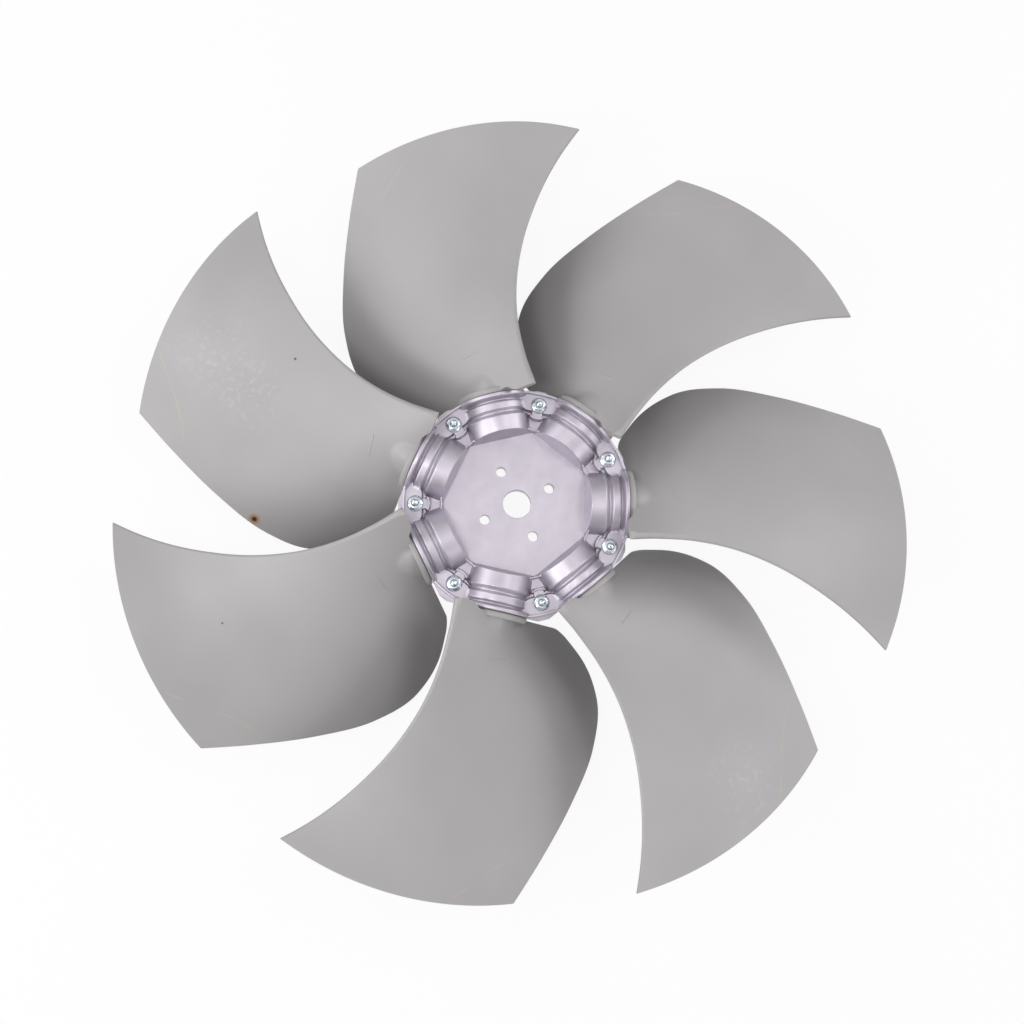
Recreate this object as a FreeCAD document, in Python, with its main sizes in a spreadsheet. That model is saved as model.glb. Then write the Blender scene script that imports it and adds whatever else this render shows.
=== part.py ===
"""Axial fan impeller with seven blades clamped between two cast hub halves.

The fan axis is Z and the origin lies on the bore axis, at the plane where
the two hub halves meet. The inlet side, with the nuts, faces +Z. Blade 1
points along +X and the others follow at equal angles. The impeller turns
clockwise seen from +Z, so each blade leads with its -Y side.
"""

import FreeCAD
import Part
import Sketcher
import math
import os

V = FreeCAD.Vector

# Driving sizes in millimetres and degrees
SIZES = [
    ("blade_count", 7, "blades, sockets and clamping bolts"),
    ("tip_radius", 340, "circle swept by the blade tips"),
    # Hub plate
    ("plate_thick", 5.35, "central plate of one hub half"),
    ("bore_dia", 25, "shaft bore"),
    ("mount_circle", 63.5, "pitch circle of the mounting holes"),
    ("mount_count", 4, "mounting holes"),
    ("mount_dia", 9, "mounting hole"),
    # Blade socket, a revolved form about the blade axis
    ("socket_start", 59.6, "inner end of a socket from the fan axis"),
    ("end_lean", 2.2, "draft of the end wall"),
    ("end_wall", 4.6, "thickness of the end wall"),
    ("end_radius", 27, "outside radius where the end wall meets the first band"),
    ("end_round", 3, "rounded edge of the end wall"),
    ("band_one", 28.5, "outside radius of the first band"),
    ("band_one_end", 77, "outer end of the first band"),
    ("groove_one", 79.8, "middle of the first groove"),
    ("groove_one_radius", 25, "outside radius at the first groove"),
    ("groove_floor", 1.2, "width of a groove floor"),
    ("band_two_start", 82.2, "inner end of the second band"),
    ("band_two", 28, "outside radius of the second band"),
    ("band_two_end", 88.5, "outer end of the second band"),
    ("band_round", 1.3, "rounded edge of a band"),
    ("groove_two", 90.3, "middle of the second groove"),
    ("groove_two_radius", 25.5, "outside radius at the second groove"),
    ("mouth_rim_start", 92.5, "back of the mouth rim"),
    ("mouth_rim", 32.5, "outside radius of the mouth rim"),
    ("mouth_face", 96, "flat socket mouth from the fan axis"),
    ("mouth_radius", 27.5, "bore of the socket mouth"),
    ("socket_wall", 4.75, "wall of a socket"),
    ("rib_slope", 1.6, "length of the slope beside an inner rib"),
    # Valleys between the sockets
    ("bolt_circle", 89.2, "radius of the clamping bolts"),
    ("bolt_hole", 6.6, "clearance hole of a clamping bolt"),
    ("pad_inner", 83, "inner edge of the bolt pad"),
    ("pad_height", 10.35, "top of the bolt pad"),
    ("tongue_width", 8, "tongue from the pad to the outer rib"),
    ("tongue_height", 9.6, "top of the tongue"),
    ("rib_bend", 11, "bend of the outer valley rib about its bolt"),
    ("rib_outer_thick", 2, "thickness of the outer valley rib"),
    ("rib_spread", 30, "slope of the ends of the outer valley rib"),
    ("rib_half", 7.5, "half width of the outer valley rib"),
    ("rib_inner", 67.5, "outside of the inner valley rib"),
    ("rib_inner_thick", 1.9, "thickness of the inner valley rib"),
    ("rib_height", 12.4, "top of the valley ribs"),
    ("lip_outer", 100.3, "outside of the front lip"),
    ("lip_thick", 2.2, "thickness of the lip"),
    ("lip_height", 13.65, "top of the lip"),
    ("rear_outline", 104.5, "rounded corners of the rear half"),
    # Blade root
    ("root_gap", 0.3, "clearance of the root in its socket"),
    ("disc_gap", 0.6, "gap from the socket mouth to the root disc"),
    ("disc_radius", 30, "root disc"),
    ("disc_thick", 5, "root disc"),
    ("disc_round", 1.2, "rim of the root disc"),
    ("core_radius", 12, "blind core of the root"),
    ("core_end", 90, "bottom of the blind core"),
    ("fairing_start", 99, "middle of the fairing, inside the root disc"),
    ("fairing_length", 25, "fairing along the blade"),
    ("fairing_across", 17, "half width of the fairing"),
    ("fairing_depth", 27, "half height of the fairing along the fan axis"),
    ("root_corner", 9, "rounded trailing corner of the blade root"),
    # Pitch insert
    ("insert_thick", 4, "flange of the insert"),
    ("insert_bore", 12, "bore of the insert"),
    ("key_width", 8, "key that turns with the blade"),
    ("key_height", 3, "key that turns with the blade"),
    ("key_inset", 2, "end of the key inside the flange edge"),
    ("tongue_key_width", 16, "key held by the hub halves"),
    ("tongue_key_thick", 4, "key held by the hub halves"),
    ("tongue_key_depth", 2, "key held by the hub halves"),
    ("key_gap", 0.3, "clearance round both keys"),
    ("blade_setting", 44, "turn of the key about the blade axis"),
    # Fasteners, M6
    ("thread_dia", 6, "clamping bolt"),
    ("thread_gap", 0.1, "nut bore outside the thread"),
    ("bolt_length", 30, "under the head"),
    ("bolt_point", 1, "chamfer of the bolt end"),
    ("flange_dia", 14.2, "flange of head and nut"),
    ("flange_rim", 0.9, "cylindrical rim of the flange"),
    ("flange_cone", 1.3, "height of the flange cone"),
    ("flange_top", 10.4, "top of the flange cone"),
    ("head_flats", 8, "hexagon of the head"),
    ("head_height", 6.6, "head with its flange"),
    ("nut_flats", 10, "hexagon of the nut"),
    ("nut_height", 6, "nut with its flange"),
    # Blade sections
    ("edge_rear", 2, "thickness of the trailing edge"),
]

# Blade sections from root to tip: distance from the fan axis, chord, pitch,
# sideways and axial place of the chord's middle, camber, thickness in the
# middle and at the leading edge
SECTIONS = [
    (98, 137, 44, 14.8, 1.1, 1, 8.4, 7),
    (120, 155, 36.4, 28.4, -5.7, 3.5, 8, 5.6),
    (150, 167, 29.1, 37.4, -8.6, 6.5, 7.4, 4.4),
    (195, 174, 22.1, 35.1, -7.1, 8.5, 6.6, 3.6),
    (245, 181, 15.9, 17.8, -1.8, 9.5, 5.8, 3.2),
    (295, 199, 10.9, -11.2, 7.2, 9.5, 5, 3),
    (345, 240, 9.3, -54.2, 22.4, 11, 4.4, 3),
]
SECTION_FIELDS = ("place", "chord", "pitch", "side", "level", "camber", "thick", "nose")

doc = FreeCAD.newDocument("AxialFanImpeller")
sheet = doc.addObject("Spreadsheet::Sheet", "sizes")


def fill_sheet():
    """Write every driving size to the sheet under its own name."""
    rows = [(name, value, note) for name, value, note in SIZES]
    for number, section in enumerate(SECTIONS, 1):
        for field, value in zip(SECTION_FIELDS, section):
            rows.append((f"{field}_{number}", value, f"blade section {number}"))
    for row, (name, value, note) in enumerate(rows, 1):
        sheet.set(f"A{row}", note)
        sheet.set(f"B{row}", str(value))
        sheet.setAlias(f"B{row}", name)
    doc.recompute()


def size(expression):
    """Value of an expression over the sheet's names."""
    return float(sheet.evalExpression(named(expression)))


def named(expression):
    """The expression with its size names pointing to the sheet."""
    if isinstance(expression, (int, float)):
        return repr(expression)
    words = {name for name, _, _ in SIZES}
    words |= {f"{f}_{n}" for f in SECTION_FIELDS for n in range(1, len(SECTIONS) + 1)}
    out = ""
    word = ""
    for mark in expression + " ":
        if mark.isalnum() or mark == "_" or mark == ".":
            word += mark
            continue
        out += f"sizes.{word}" if word in words else word
        out += mark
        word = ""
    return out.strip()


def bind(target, path, expression):
    """Tie one property of an object to an expression over the sheet."""
    target.setExpression(path, named(expression))


def origin_feature(body, role):
    """The origin plane or axis of a body with the given role."""
    return [f for f in body.Origin.OriginFeatures if f.Role == role][0]


def sketch_in(body, name):
    """A sketch on the body's XY plane."""
    sketch = body.newObject("Sketcher::SketchObject", name)
    sketch.AttachmentSupport = [(origin_feature(body, "XY_Plane"), "")]
    sketch.MapMode = "FlatFace"
    return sketch


def pin(sketch, geometry, vertex, across, up):
    """Fix a sketch point at two expressions measured from the origin."""
    for kind, expression in (("DistanceX", across), ("DistanceY", up)):
        value = size(expression)
        index = sketch.addConstraint(
            Sketcher.Constraint(kind, -1, 1, geometry, vertex, value)
        )
        bind(sketch, f"Constraints[{index}]", expression)


def draw_outline(sketch, corners):
    """Closed outline of straight sides; a corner may carry a rounding."""
    points = [V(size(c[0]), size(c[1]), 0) for c in corners]
    count = len(corners)
    first = sketch.GeometryCount
    for i in range(count):
        line = Part.LineSegment(points[i], points[(i + 1) % count])
        sketch.addGeometry(line, False)
    for i in range(count):
        follower = first + (i + 1) % count
        sketch.addConstraint(
            Sketcher.Constraint("Coincident", first + i, 2, follower, 1)
        )
        pin(sketch, first + i, 1, corners[i][0], corners[i][1])
    for i, corner in enumerate(corners):
        if len(corner) < 3:
            continue
        radius = size(corner[2])
        before = points[i - 1]
        after = points[(i + 1) % count]
        on_before = points[i] + (before - points[i]).normalize() * radius
        on_after = points[i] + (after - points[i]).normalize() * radius
        arc = sketch.GeometryCount
        sketch.fillet(
            first + (i - 1) % count, first + i, on_before, on_after, radius, True, True
        )
        index = sketch.addConstraint(Sketcher.Constraint("Radius", arc, radius))
        bind(sketch, f"Constraints[{index}]", corner[2])


def draw_circle(sketch, radius, across=0, up=0):
    """Circle with its radius and centre tied to the sheet."""
    centre = V(size(across), size(up), 0)
    index = sketch.addGeometry(Part.Circle(centre, V(0, 0, 1), size(radius)), False)
    tie = sketch.addConstraint(Sketcher.Constraint("Radius", index, size(radius)))
    bind(sketch, f"Constraints[{tie}]", radius)
    if across == 0 and up == 0:
        sketch.addConstraint(Sketcher.Constraint("Coincident", index, 3, -1, 1))
    else:
        pin(sketch, index, 3, across, up)


def around(body, feature, count, name):
    """Repeat a feature round the fan axis."""
    pattern = body.newObject("PartDesign::PolarPattern", name)
    pattern.Originals = [feature]
    pattern.Axis = (origin_feature(body, "Z_Axis"), [""])
    pattern.Angle = 360
    bind(pattern, "Occurrences", count)
    feature.Visibility = False
    body.Tip = pattern
    doc.recompute()
    return pattern


def pad_up(body, sketch, height, rear, name):
    """Raise a sketch from the split plane, away from the other half."""
    pad = body.newObject("PartDesign::Pad", name)
    pad.Profile = sketch
    bind(pad, "Length", height)
    pad.Reversed = rear
    body.Tip = pad
    doc.recompute()
    return pad


def cut_through(body, sketch, name):
    """Cut a sketch through the whole half, both ways."""
    pocket = body.newObject("PartDesign::Pocket", name)
    pocket.Profile = sketch
    pocket.Type = "ThroughAll"
    pocket.Midplane = True
    body.Tip = pocket
    doc.recompute()
    return pocket


HALF_STEP = "180 / blade_count"
INSIDE_ONE = "band_one - socket_wall"
INSIDE_TWO = "band_two - socket_wall"
RIB_ONE = "groove_one_radius - socket_wall"
RIB_TWO = "groove_two_radius - socket_wall"
CAVITY_START = "socket_start + end_wall"

# Outside of a socket as (distance from the fan axis, radius, rounding)
SOCKET_OUTSIDE = [
    ("socket_start", "0"),
    ("socket_start + end_lean", "end_radius", "end_round"),
    ("band_one_end", "band_one", "band_round"),
    ("groove_one - groove_floor / 2", "groove_one_radius"),
    ("groove_one + groove_floor / 2", "groove_one_radius"),
    ("band_two_start", "band_two", "band_round"),
    ("band_two_end", "band_two", "band_round"),
    ("groove_two - groove_floor / 2", "groove_two_radius"),
    ("groove_two + groove_floor / 2", "groove_two_radius"),
    ("mouth_rim_start", "mouth_rim"),
    ("mouth_face", "mouth_rim"),
    ("mouth_face", "0"),
]

# Inside of a socket: the ribs stand under the grooves
SOCKET_INSIDE = [
    (CAVITY_START, "0"),
    (CAVITY_START, INSIDE_ONE),
    ("groove_one - groove_floor - rib_slope", INSIDE_ONE),
    ("groove_one - groove_floor", RIB_ONE),
    ("groove_one + groove_floor", RIB_ONE),
    ("groove_one + groove_floor + rib_slope", INSIDE_TWO),
    ("groove_two - groove_floor - rib_slope", INSIDE_TWO),
    ("groove_two - groove_floor", RIB_TWO),
    ("groove_two + groove_floor", RIB_TWO),
    ("groove_two + groove_floor + rib_slope", "mouth_radius"),
    ("mouth_face + socket_wall", "mouth_radius"),
    ("mouth_face + socket_wall", "0"),
]


def in_valley(reach, side, *rounding):
    """A corner given along and across the line from the axis to a bolt."""
    across = f"({reach}) * cos({HALF_STEP}) - ({side}) * sin({HALF_STEP})"
    up = f"({reach}) * sin({HALF_STEP}) + ({side}) * cos({HALF_STEP})"
    return (across, up, *rounding)


def hub_half(label, rear):
    """One cast hub half: plate, seven half sockets, valley ribs and pads."""
    body = doc.addObject("PartDesign::Body", label)
    body.Label = label
    outline = "rear_outline" if rear else "lip_outer"

    plate = sketch_in(body, f"{label}_plate")
    draw_circle(plate, outline)
    pad_up(body, plate, "plate_thick", rear, f"{label}_plate_pad")

    shell = sketch_in(body, f"{label}_socket")
    draw_outline(shell, SOCKET_OUTSIDE)
    socket = body.newObject("PartDesign::Revolution", f"{label}_socket_form")
    socket.Profile = shell
    socket.ReferenceAxis = (shell, ["H_Axis"])
    socket.Angle = 180
    socket.Reversed = rear
    doc.recompute()
    around(body, socket, "blade_count", f"{label}_sockets")

    rings = [
        ("lip", outline, f"{outline} - lip_thick", "lip_height"),
        ("pads", outline, "pad_inner", "pad_height"),
        ("inner_ribs", "rib_inner", "rib_inner - rib_inner_thick", "rib_height"),
    ]
    for name, outer, inner, height in rings:
        ring = sketch_in(body, f"{label}_{name}")
        draw_circle(ring, outer)
        draw_circle(ring, inner)
        pad_up(body, ring, height, rear, f"{label}_{name}_pad")

    inner_bend = "(rib_bend + rib_outer_thick)"
    outer_crown = "bolt_circle - rib_bend / cos(rib_spread)"
    inner_crown = f"bolt_circle - {inner_bend} / cos(rib_spread)"
    end_drop = "rib_half * tan(rib_spread)"
    strips = [
        ("outer_rib", "rib_height", [
            (inner_crown, "0", inner_bend),
            (f"{inner_crown} + {end_drop}", "rib_half"),
            (f"{outer_crown} + {end_drop}", "rib_half"),
            (outer_crown, "0", "rib_bend"),
            (f"{outer_crown} + {end_drop}", "0 - rib_half"),
            (f"{inner_crown} + {end_drop}", "0 - rib_half"),
        ]),
        ("tongue", "tongue_height", [
            (f"{outer_crown} + rib_outer_thick / 2", "0 - tongue_width / 2"),
            ("pad_inner + rib_outer_thick", "0 - tongue_width / 2"),
            ("pad_inner + rib_outer_thick", "tongue_width / 2"),
            (f"{outer_crown} + rib_outer_thick / 2", "tongue_width / 2"),
        ]),
    ]
    for name, height, corners in strips:
        strip = sketch_in(body, f"{label}_{name}")
        draw_outline(strip, [in_valley(*corner) for corner in corners])
        raised = pad_up(body, strip, height, rear, f"{label}_{name}_pad")
        around(body, raised, "blade_count", f"{label}_{name}s")

    trim = sketch_in(body, f"{label}_trim")
    draw_circle(trim, "rear_outline + mouth_rim")
    flats = []
    for k in range(int(size("blade_count"))):
        angle = f"({k} + 0.5) * 360 / blade_count"
        reach = f"mouth_face / cos({HALF_STEP})"
        flats.append((f"{reach} * cos({angle})", f"{reach} * sin({angle})"))
    draw_outline(trim, flats)
    cut_through(body, trim, f"{label}_flats")

    hollow = sketch_in(body, f"{label}_cavity")
    draw_outline(hollow, SOCKET_INSIDE)
    cavity = body.newObject("PartDesign::Groove", f"{label}_cavity_form")
    cavity.Profile = hollow
    cavity.ReferenceAxis = (hollow, ["H_Axis"])
    cavity.Angle = 360
    doc.recompute()
    around(body, cavity, "blade_count", f"{label}_cavities")

    slot = sketch_in(body, f"{label}_key_slot")
    slot_start = f"{CAVITY_START} - tongue_key_depth - key_gap"
    slot_half = "(tongue_key_width / 2 + key_gap)"
    draw_outline(slot, [
        (slot_start, f"0 - {slot_half}"),
        (f"{CAVITY_START} + socket_wall", f"0 - {slot_half}"),
        (f"{CAVITY_START} + socket_wall", slot_half),
        (slot_start, slot_half),
    ])
    seat = body.newObject("PartDesign::Pocket", f"{label}_key_seat")
    seat.Profile = slot
    seat.Midplane = True
    bind(seat, "Length", "tongue_key_thick + 2 * key_gap")
    doc.recompute()
    around(body, seat, "blade_count", f"{label}_key_seats")

    bore = sketch_in(body, f"{label}_bore")
    draw_circle(bore, "bore_dia / 2")
    cut_through(body, bore, f"{label}_bore_cut")

    mount = sketch_in(body, f"{label}_mount")
    mount_x = f"mount_circle / 2 * cos({HALF_STEP})"
    mount_y = f"mount_circle / 2 * sin({HALF_STEP})"
    draw_circle(mount, "mount_dia / 2", mount_x, mount_y)
    mount_cut = cut_through(body, mount, f"{label}_mount_cut")
    around(body, mount_cut, "mount_count", f"{label}_mounts")

    drill = sketch_in(body, f"{label}_drill")
    drill_x = f"bolt_circle * cos({HALF_STEP})"
    drill_y = f"bolt_circle * sin({HALF_STEP})"
    draw_circle(drill, "bolt_hole / 2", drill_x, drill_y)
    drill_cut = cut_through(body, drill, f"{label}_drill_cut")
    around(body, drill_cut, "blade_count", f"{label}_drills")
    return body


def blade_section(number):
    """Aerofoil section of four arcs on a plane square to the blade axis."""
    place, chord, pitch, side, level, camber, thick, nose = (
        size(f"{field}_{number}") for field in SECTION_FIELDS
    )
    turn = math.radians(pitch)
    lead_half = nose / 2
    trail_half = size("edge_rear") / 2

    def spot(along, out):
        """Point at a distance along the chord and out from it."""
        across = side + along * math.cos(turn) + out * math.sin(turn)
        up = level - along * math.sin(turn) + out * math.cos(turn)
        return V(place, across, up)

    lead = -chord / 2
    trail = chord / 2
    front_lead = spot(lead + lead_half, lead_half)
    back_lead = spot(lead + lead_half, -lead_half)
    front_trail = spot(trail - trail_half, trail_half)
    back_trail = spot(trail - trail_half, -trail_half)
    arcs = [
        (front_lead, spot(0, camber + thick / 2), front_trail),
        (front_trail, spot(trail, 0), back_trail),
        (back_trail, spot(0, camber - thick / 2), back_lead),
        (back_lead, spot(lead, 0), front_lead),
    ]
    return Part.Wire([Part.Arc(*arc).toShape() for arc in arcs])


def along_blade(kind, name, start):
    """A Part primitive standing on the blade axis from a given distance."""
    solid = doc.addObject(kind, name)
    solid.Placement = FreeCAD.Placement(V(0, 0, 0), FreeCAD.Rotation(V(0, 1, 0), 90))
    bind(solid, "Placement.Base.x", start)
    return solid


def corner_cutter():
    """What lies outside the rounded trailing corner of the blade root."""
    block = doc.addObject("Part::Box", "corner_block")
    bind(block, "Length", "2 * root_corner")
    bind(block, "Width", "2 * root_corner")
    bind(block, "Height", "4 * root_corner")
    bind(block, "Placement.Base.x", "0 - 2 * root_corner")
    bind(block, "Placement.Base.z", "0 - 2 * root_corner")
    disc = doc.addObject("Part::Cylinder", "corner_round")
    bind(disc, "Radius", "root_corner")
    bind(disc, "Height", "6 * root_corner")
    bind(disc, "Placement.Base.z", "0 - 3 * root_corner")
    rest = doc.addObject("Part::Cut", "corner_rest")
    rest.Base = block
    rest.Tool = disc
    tool = doc.addObject("Part::Compound", "corner_cutter")
    tool.Links = [rest]
    tool.Placement = FreeCAD.Placement(V(0, 0, 0), FreeCAD.Rotation(V(-1, 0, 0), 1))
    reach = "(chord_1 / 2 - root_corner)"
    bind(tool, "Placement.Base.x", "place_1 + root_corner")
    bind(tool, "Placement.Base.y", f"side_1 + {reach} * cos(pitch_1)")
    bind(tool, "Placement.Base.z", f"level_1 - {reach} * sin(pitch_1)")
    bind(tool, "Placement.Rotation.Angle", "pitch_1")
    return tool


def key_bar(name, start, length, width, height):
    """A bar across the blade axis, turned to the blade setting."""
    bar = doc.addObject("Part::Box", name)
    turn = FreeCAD.Rotation(V(1, 0, 0), 0)
    bar.Placement = FreeCAD.Placement(V(0, 0, 0), turn)
    bind(bar, "Length", height)
    bind(bar, "Width", width)
    bind(bar, "Height", length)
    bind(bar, "Placement.Base.x", start)
    bind(bar, "Placement.Base.y", f"0 - ({width}) / 2 * cos(blade_setting) "
         f"+ ({length}) / 2 * sin(blade_setting)")
    bind(bar, "Placement.Base.z", f"0 - ({width}) / 2 * sin(blade_setting) "
         f"- ({length}) / 2 * cos(blade_setting)")
    bind(bar, "Placement.Rotation.Angle", "blade_setting")
    return bar


def make_blade():
    """Blade skin, root and fairing as one moulding."""
    skin = doc.addObject("Part::Feature", "blade_skin")
    wires = [blade_section(n) for n in range(1, len(SECTIONS) + 1)]
    skin.Shape = Part.makeLoft(wires, True, False)

    reach = doc.addObject("Part::Cylinder", "tip_circle")
    bind(reach, "Radius", "tip_radius")
    bind(reach, "Height", "tip_radius")
    bind(reach, "Placement.Base.z", "0 - tip_radius / 2")
    trimmed = doc.addObject("Part::Common", "blade_trimmed")
    trimmed.Base = skin
    trimmed.Tool = reach
    eased = doc.addObject("Part::Cut", "blade_eased")
    eased.Base = trimmed
    eased.Tool = corner_cutter()

    disc_start = "mouth_face + disc_gap"
    root = doc.addObject("Sketcher::SketchObject", "root_outline")
    rib_one_in = "groove_one - groove_floor - root_gap"
    rib_one_out = "groove_one + groove_floor + root_gap"
    rib_two_in = "groove_two - groove_floor - root_gap"
    rib_two_out = "groove_two + groove_floor + root_gap"
    root_start = f"{CAVITY_START} + insert_thick + 2 * root_gap"
    draw_outline(root, [
        (root_start, "core_radius"),
        (root_start, f"{INSIDE_ONE} - root_gap"),
        (f"{rib_one_in} - rib_slope", f"{INSIDE_ONE} - root_gap"),
        (rib_one_in, f"{RIB_ONE} - root_gap"),
        (rib_one_out, f"{RIB_ONE} - root_gap"),
        (f"{rib_one_out} + rib_slope", f"{INSIDE_TWO} - root_gap"),
        (f"{rib_two_in} - rib_slope", f"{INSIDE_TWO} - root_gap"),
        (rib_two_in, f"{RIB_TWO} - root_gap"),
        (rib_two_out, f"{RIB_TWO} - root_gap"),
        (f"{rib_two_out} + rib_slope", "mouth_radius - root_gap"),
        (disc_start, "mouth_radius - root_gap"),
        (disc_start, "disc_radius", "disc_round"),
        (f"{disc_start} + disc_thick", "disc_radius", "disc_round"),
        (f"{disc_start} + disc_thick", "0"),
        ("core_end", "0"),
        ("core_end", "core_radius"),
    ])
    stem = doc.addObject("Part::Revolution", "blade_root")
    stem.Source = root
    stem.Axis = V(1, 0, 0)
    stem.Base = V(0, 0, 0)
    stem.Angle = 360
    stem.Solid = True

    fairing = along_blade("Part::Ellipsoid", "blade_fairing", "fairing_start")
    bind(fairing, "Radius1", "fairing_length")
    bind(fairing, "Radius2", "fairing_depth")
    bind(fairing, "Radius3", "fairing_across")
    fairing.Angle1 = 0

    whole = doc.addObject("Part::MultiFuse", "blade_moulding")
    whole.Shapes = [eased, stem, fairing]
    notch = key_bar(
        "key_notch",
        f"{root_start} - root_gap",
        f"2 * ({INSIDE_ONE} + root_gap)",
        "key_width + 2 * key_gap",
        "key_height + root_gap + key_gap",
    )
    blade = doc.addObject("Part::Cut", "blade_master")
    blade.Base = whole
    blade.Tool = notch
    return blade


def make_insert():
    """Keyed disc that holds the blade at its setting in the socket."""
    start = f"{CAVITY_START} + root_gap"
    flange = along_blade("Part::Cylinder", "insert_flange", start)
    bind(flange, "Radius", f"{INSIDE_ONE} - root_gap")
    bind(flange, "Height", "insert_thick")
    bar = key_bar(
        "insert_bar",
        f"{start} + insert_thick",
        f"2 * ({INSIDE_ONE} - root_gap - key_inset)",
        "key_width",
        "key_height",
    )
    tab = doc.addObject("Part::Box", "insert_tab")
    bind(tab, "Length", "tongue_key_depth + root_gap")
    bind(tab, "Width", "tongue_key_width")
    bind(tab, "Height", "tongue_key_thick")
    bind(tab, "Placement.Base.x", f"{start} - tongue_key_depth - root_gap")
    bind(tab, "Placement.Base.y", "0 - tongue_key_width / 2")
    bind(tab, "Placement.Base.z", "0 - tongue_key_thick / 2")
    solid = doc.addObject("Part::MultiFuse", "insert_solid")
    solid.Shapes = [flange, bar, tab]
    bore = along_blade("Part::Cylinder", "insert_opening", f"{start} - end_wall")
    bind(bore, "Radius", "insert_bore / 2")
    bind(bore, "Height", "insert_thick + 3 * end_wall")
    insert = doc.addObject("Part::Cut", "insert_master")
    insert.Base = solid
    insert.Tool = bore
    return insert


def flanged_hex(name, base, up, flats, height):
    """Hexagon on a coned flange, standing up or hanging down from a seat."""
    rim = doc.addObject("Part::Cylinder", f"{name}_rim")
    bind(rim, "Radius", "flange_dia / 2")
    bind(rim, "Height", "flange_rim")
    cone = doc.addObject("Part::Cone", f"{name}_cone")
    wide, narrow = ("Radius1", "Radius2") if up else ("Radius2", "Radius1")
    bind(cone, wide, "flange_dia / 2")
    bind(cone, narrow, "flange_top / 2")
    bind(cone, "Height", "flange_cone")
    hexagon = doc.addObject("Part::Prism", f"{name}_hexagon")
    hexagon.Polygon = 6
    bind(hexagon, "Circumradius", f"{flats} / 2 / cos(30)")
    bind(hexagon, "Height", height)
    for solid, low, tall in (
        (rim, "0", "flange_rim"),
        (cone, "flange_rim", "flange_cone"),
        (hexagon, "0", height),
    ):
        bind(solid, "Placement.Base.x", "bolt_circle")
        below = f"{base} - {low} - {tall}"
        bind(solid, "Placement.Base.z", f"{base} + {low}" if up else below)
    return [rim, cone, hexagon]


def make_bolt():
    """Hexagon flange bolt with its head on the rear pad."""
    seat = "0 - pad_height"
    pieces = flanged_hex("bolt_head", seat, False, "head_flats", "head_height")
    shank = doc.addObject("Part::Cylinder", "bolt_shank")
    bind(shank, "Radius", "thread_dia / 2")
    bind(shank, "Height", "bolt_length - bolt_point")
    bind(shank, "Placement.Base.x", "bolt_circle")
    bind(shank, "Placement.Base.z", seat)
    point = doc.addObject("Part::Cone", "bolt_end")
    bind(point, "Radius1", "thread_dia / 2")
    bind(point, "Radius2", "thread_dia / 2 - bolt_point")
    bind(point, "Height", "bolt_point")
    bind(point, "Placement.Base.x", "bolt_circle")
    bind(point, "Placement.Base.z", f"{seat} + bolt_length - bolt_point")
    bolt = doc.addObject("Part::MultiFuse", "bolt_master")
    bolt.Shapes = pieces + [shank, point]
    return bolt


def make_nut():
    """Hexagon flange nut on the front pad."""
    solid = doc.addObject("Part::MultiFuse", "nut_solid")
    solid.Shapes = flanged_hex("nut", "pad_height", True, "nut_flats", "nut_height")
    bore = doc.addObject("Part::Cylinder", "nut_bore")
    bind(bore, "Radius", "thread_dia / 2 + thread_gap")
    bind(bore, "Height", "nut_height + pad_height")
    bind(bore, "Placement.Base.x", "bolt_circle")
    bind(bore, "Placement.Base.z", "pad_height / 2")
    nut = doc.addObject("Part::Cut", "nut_master")
    nut.Base = solid
    nut.Tool = bore
    return nut


def turned_copy(master, label, turn):
    """A copy of a piece turned about the fan axis."""
    copy = doc.addObject("Part::Compound", label)
    copy.Label = label
    copy.Links = [master]
    copy.Placement = FreeCAD.Placement(V(0, 0, 0), FreeCAD.Rotation(V(0, 0, 1), 1))
    bind(copy, "Placement.Rotation.Angle", turn)
    return copy


fill_sheet()
blades = int(size("blade_count"))
subparts = [hub_half("front_hub_half", False), hub_half("rear_hub_half", True)]
blade = make_blade()
insert = make_insert()
for k in range(blades):
    turn = f"{k} * 360 / blade_count"
    subparts.append(turned_copy(blade, f"blade_{k + 1}", turn))
for k in range(blades):
    turn = f"{k} * 360 / blade_count"
    subparts.append(turned_copy(insert, f"pitch_insert_{k + 1}", turn))
for master, label in ((make_bolt(), "clamp_bolts"), (make_nut(), "flange_nuts")):
    ring = doc.addObject("Part::Compound", label)
    ring.Label = label
    ring.Links = [
        turned_copy(master, f"{label}_{k + 1}", f"({k} + 0.5) * 360 / blade_count")
        for k in range(blades)
    ]
    subparts.append(ring)
doc.recompute()

for item in doc.Objects:
    if {"Invalid", "Error"} & set(item.State):
        raise RuntimeError(f"{item.Name} did not build: {item.State}")
os.makedirs("parts", exist_ok=True)
for item in subparts:
    if item.Shape.isNull() or not item.Shape.isValid():
        raise RuntimeError(f"{item.Label} has no valid shape")
for item in subparts:
    item.Shape.exportStep(f"parts/{item.Label}.step")
    solids = len(item.Shape.Solids)
    print(item.Label, solids, "solids", round(item.Shape.Volume / 1000, 2), "cm3")
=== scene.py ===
"""Looks of an axial fan impeller: seven blades clamped in a cast split hub.

All sizes are in millimetres until a mesh is made. The fan axis is Z, blade 1
lies along X and the nuts are on the +Z side.
"""

import bmesh
import bpy
import numpy as np
from mathutils import Matrix, Vector


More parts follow.
